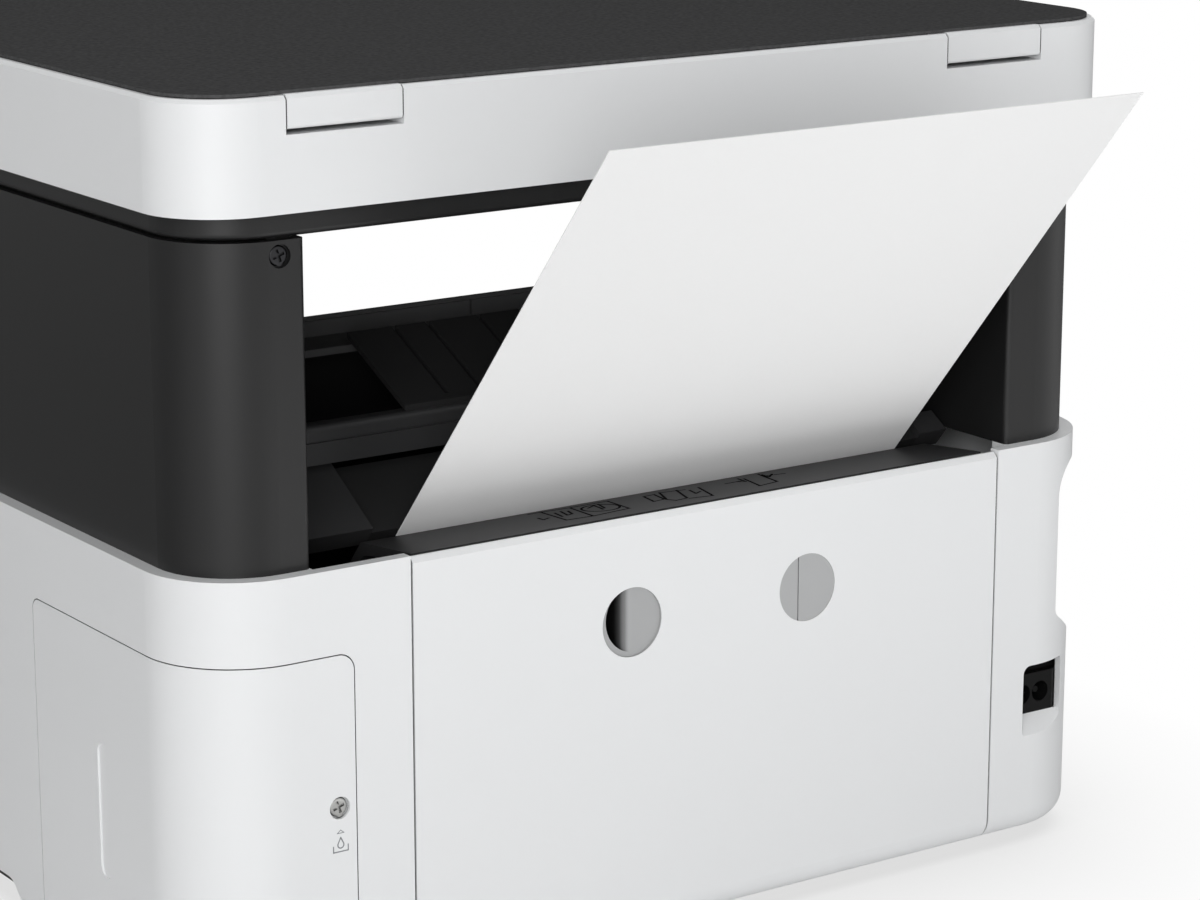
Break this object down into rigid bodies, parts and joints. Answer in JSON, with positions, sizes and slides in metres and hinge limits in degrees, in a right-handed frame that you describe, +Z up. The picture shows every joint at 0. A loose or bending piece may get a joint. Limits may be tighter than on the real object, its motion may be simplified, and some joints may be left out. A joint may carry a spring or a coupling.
{
  "type": "inkjet printer",
  "caption": "Box-shaped white and black inkjet printer with a flatbed scanner lid, front paper cassette, rear sheet feed with a sheet in it, and a removable rear cover.",
  "frame": {"origin": "on the floor, under the middle of the object's outline with the sheet in the rear slot", "axes": "+Y to the rear, +Z up, +X to the side with the maintenance cover"},
  "size_m": [0.375, 0.4322, 0.302],
  "materials": {
    "white_plastic": "fine matt moulding",
    "charcoal_plastic": "satin moulding",
    "lid_plastic": "fine grained moulding",
    "dark_plastic": "satin moulding",
    "grey_plastic": "satin moulding",
    "gloss_black": "polished",
    "rubber": "matt",
    "steel": "zinc plated",
    "screw_steel": "blackened",
    "glass": "clear",
    "pad_foam": "white film on foam",
    "paper": "plain paper stock",
    "circuit_board": "solder mask",
    "clear_tank": "clear moulding",
    "belt_rubber": "matt",
    "accent_green": "polished",
    "accent_orange": "polished"
  },
  "bodies": {
    "chassis": {"right_housing": "white_plastic", "left_housing": "white_plastic", "base_chassis": "dark_plastic", "rubber_feet": "rubber", "upper_cabinet": "charcoal_plastic", "cabinet_screws": "screw_steel", "feed_ramp": "grey_plastic", "main_frame": "steel", "frame_beam": "dark_plastic", "mechanism_cover": "dark_plastic", "guide_bar": "dark_plastic", "platen": "dark_plastic", "carriage_shaft": "steel", "drive_belt": "belt_rubber", "carriage_motor": "steel", "cap_station": "dark_plastic", "feed_motor": "steel", "output_bay": "dark_plastic", "ink_tank": "clear_tank", "ink_cap": "dark_plastic", "power_supply": "steel", "mains_inlet": "dark_plastic", "main_board": "circuit_board", "usb_port": "steel", "maintenance_box": "dark_plastic"},
    "rear_cover": {"rear_cover": "white_plastic", "rear_guide": "grey_plastic"},
    "maintenance_cover": {"maintenance_cover": "white_plastic", "maintenance_screw": "screw_steel"},
    "scanner": {"scanner_base": "charcoal_plastic", "scanner_frame": "white_plastic", "scanner_glass": "glass", "sensor_rail": "steel"},
    "sensor_bar": {"sensor_bar": "dark_plastic"},
    "lid": {"lid_panel": "lid_plastic", "lid_pad": "pad_foam", "hinge_caps": "white_plastic"},
    "control_panel": {"control_panel": "gloss_black", "display": "gloss_black"},
    "power_button": {"power_button": "grey_plastic"},
    "arrow_pad": {"arrow_pad": "grey_plastic"},
    "ok_button": {"ok_button": "grey_plastic"},
    "stop_button": {"stop_button": "accent_orange"},
    "start_button": {"start_button": "accent_green"},
    "cassette": {"paper_cassette": "dark_plastic", "cassette_panel": "white_plastic"},
    "right_width_guide": {"right_width_guide": "grey_plastic"},
    "left_width_guide": {"left_width_guide": "grey_plastic"},
    "end_guide": {"end_guide": "grey_plastic"},
    "output_tray": {"output_tray": "dark_plastic"},
    "ink_flap": {"ink_flap": "dark_plastic"},
    "carriage": {"print_carriage": "dark_plastic"},
    "drive_pulley": {"drive_pulley": "grey_plastic"},
    "idler_pulley": {"idler_pulley": "grey_plastic"},
    "feed_roller": {"feed_roller": "rubber"},
    "idler_gear": {"idler_gear": "grey_plastic"},
    "exit_roller": {"exit_roller": "rubber"},
    "motor_pinion": {"motor_pinion": "grey_plastic"},
    "pick_roller": {"pick_roller": "rubber"},
    "paper_sheet": {"paper_sheet": "paper"}
  },
  "joints": [
    {"name": "rear_cover_pull", "type": "slide", "parent": "chassis", "child": "rear_cover", "axis": [0, 1, 0], "range_m": [0, 0.08]},
    {"name": "maintenance_cover_pull", "type": "slide", "parent": "chassis", "child": "maintenance_cover", "axis": [0, 1, 0], "range_m": [0, 0.1]},
    {"name": "scanner_tilt", "type": "hinge", "parent": "chassis", "child": "scanner", "pos_m": [0, 0.12234, 0.2596], "axis": [-1, 0, 0], "range_deg": [0, 30]},
    {"name": "sensor_travel", "type": "slide", "parent": "scanner", "child": "sensor_bar", "axis": [-1, 0, 0], "range_m": [0, 0.27]},
    {"name": "lid_swing", "type": "hinge", "parent": "scanner", "child": "lid", "pos_m": [0, 0.12804, 0.2929], "axis": [-1, 0, 0], "range_deg": [0, 80]},
    {"name": "control_panel_tilt", "type": "hinge", "parent": "chassis", "child": "control_panel", "pos_m": [0, -0.20746, 0.248], "axis": [-1, 0, 0], "range_deg": [0, 35]},
    {"name": "power_button_press", "type": "slide", "parent": "control_panel", "child": "power_button", "axis": [0, 1, 0], "range_m": [0, 0.0008], "stiffness_N_per_m": 1500},
    {"name": "arrow_pad_press", "type": "slide", "parent": "control_panel", "child": "arrow_pad", "axis": [0, 1, 0], "range_m": [0, 0.0008], "stiffness_N_per_m": 1500},
    {"name": "ok_button_press", "type": "slide", "parent": "control_panel", "child": "ok_button", "axis": [0, 1, 0], "range_m": [0, 0.0008], "stiffness_N_per_m": 1500},
    {"name": "stop_button_press", "type": "slide", "parent": "control_panel", "child": "stop_button", "axis": [0, 1, 0], "range_m": [0, 0.0008], "stiffness_N_per_m": 1500},
    {"name": "start_button_press", "type": "slide", "parent": "control_panel", "child": "start_button", "axis": [0, 1, 0], "range_m": [0, 0.0008], "stiffness_N_per_m": 1500},
    {"name": "cassette_pull", "type": "slide", "parent": "chassis", "child": "cassette", "axis": [0, -1, 0], "range_m": [0, 0.26]},
    {"name": "right_guide_travel", "type": "slide", "parent": "cassette", "child": "right_width_guide", "axis": [-1, 0, 0], "range_m": [0, 0.055]},
    {"name": "left_guide_travel", "type": "slide", "parent": "cassette", "child": "left_width_guide", "axis": [1, 0, 0], "range_m": [0, 0.055]},
    {"name": "end_guide_travel", "type": "slide", "parent": "cassette", "child": "end_guide", "axis": [0, 1, 0], "range_m": [0, 0.06]},
    {"name": "output_tray_pull", "type": "slide", "parent": "chassis", "child": "output_tray", "axis": [0, -1, 0], "range_m": [0, 0.1]},
    {"name": "ink_flap_swing", "type": "hinge", "parent": "chassis", "child": "ink_flap", "pos_m": [0, -0.15887, 0.1472], "axis": [-1, 0, 0], "range_deg": [0, 80]},
    {"name": "carriage_travel", "type": "slide", "parent": "chassis", "child": "carriage", "axis": [-1, 0, 0], "range_m": [0, 0.21]},
    {"name": "drive_pulley_turn", "type": "hinge", "parent": "chassis", "child": "drive_pulley", "pos_m": [0.128, 0.01744, 0.138], "axis": [0, 1, 0], "continuous": true},
    {"name": "idler_pulley_turn", "type": "hinge", "parent": "chassis", "child": "idler_pulley", "pos_m": [-0.128, 0.01744, 0.138], "axis": [0, 1, 0], "continuous": true},
    {"name": "feed_roller_turn", "type": "hinge", "parent": "chassis", "child": "feed_roller", "pos_m": [0, 0.02544, 0.0575], "axis": [1, 0, 0], "continuous": true},
    {"name": "idler_gear_turn", "type": "hinge", "parent": "chassis", "child": "idler_gear", "pos_m": [-0.1495, -0.01456, 0.0575], "axis": [1, 0, 0], "continuous": true},
    {"name": "exit_roller_turn", "type": "hinge", "parent": "chassis", "child": "exit_roller", "pos_m": [0, -0.05456, 0.0575], "axis": [1, 0, 0], "continuous": true},
    {"name": "motor_pinion_turn", "type": "hinge", "parent": "chassis", "child": "motor_pinion", "pos_m": [-0.1495, 0.04072, 0.08037], "axis": [1, 0, 0], "continuous": true},
    {"name": "pick_roller_turn", "type": "hinge", "parent": "chassis", "child": "pick_roller", "pos_m": [0, 0.06144, 0.038], "axis": [1, 0, 0], "continuous": true},
    {"name": "sheet_feed", "type": "slide", "parent": "chassis", "child": "paper_sheet", "axis": [0, 0.6494, 0.7604], "range_m": [0, 0.16]}
  ],
  "couplings": [
    {"joint": "left_guide_travel", "follows": "right_guide_travel", "ratio": 1},
    {"joint": "drive_pulley_turn", "follows": "carriage_travel", "rad_per_m": 165.29},
    {"joint": "idler_pulley_turn", "follows": "carriage_travel", "rad_per_m": 165.29},
    {"joint": "idler_gear_turn", "follows": "feed_roller_turn", "ratio": -1},
    {"joint": "exit_roller_turn", "follows": "feed_roller_turn", "ratio": 1},
    {"joint": "motor_pinion_turn", "follows": "feed_roller_turn", "ratio": -2.6667}
  ]
}
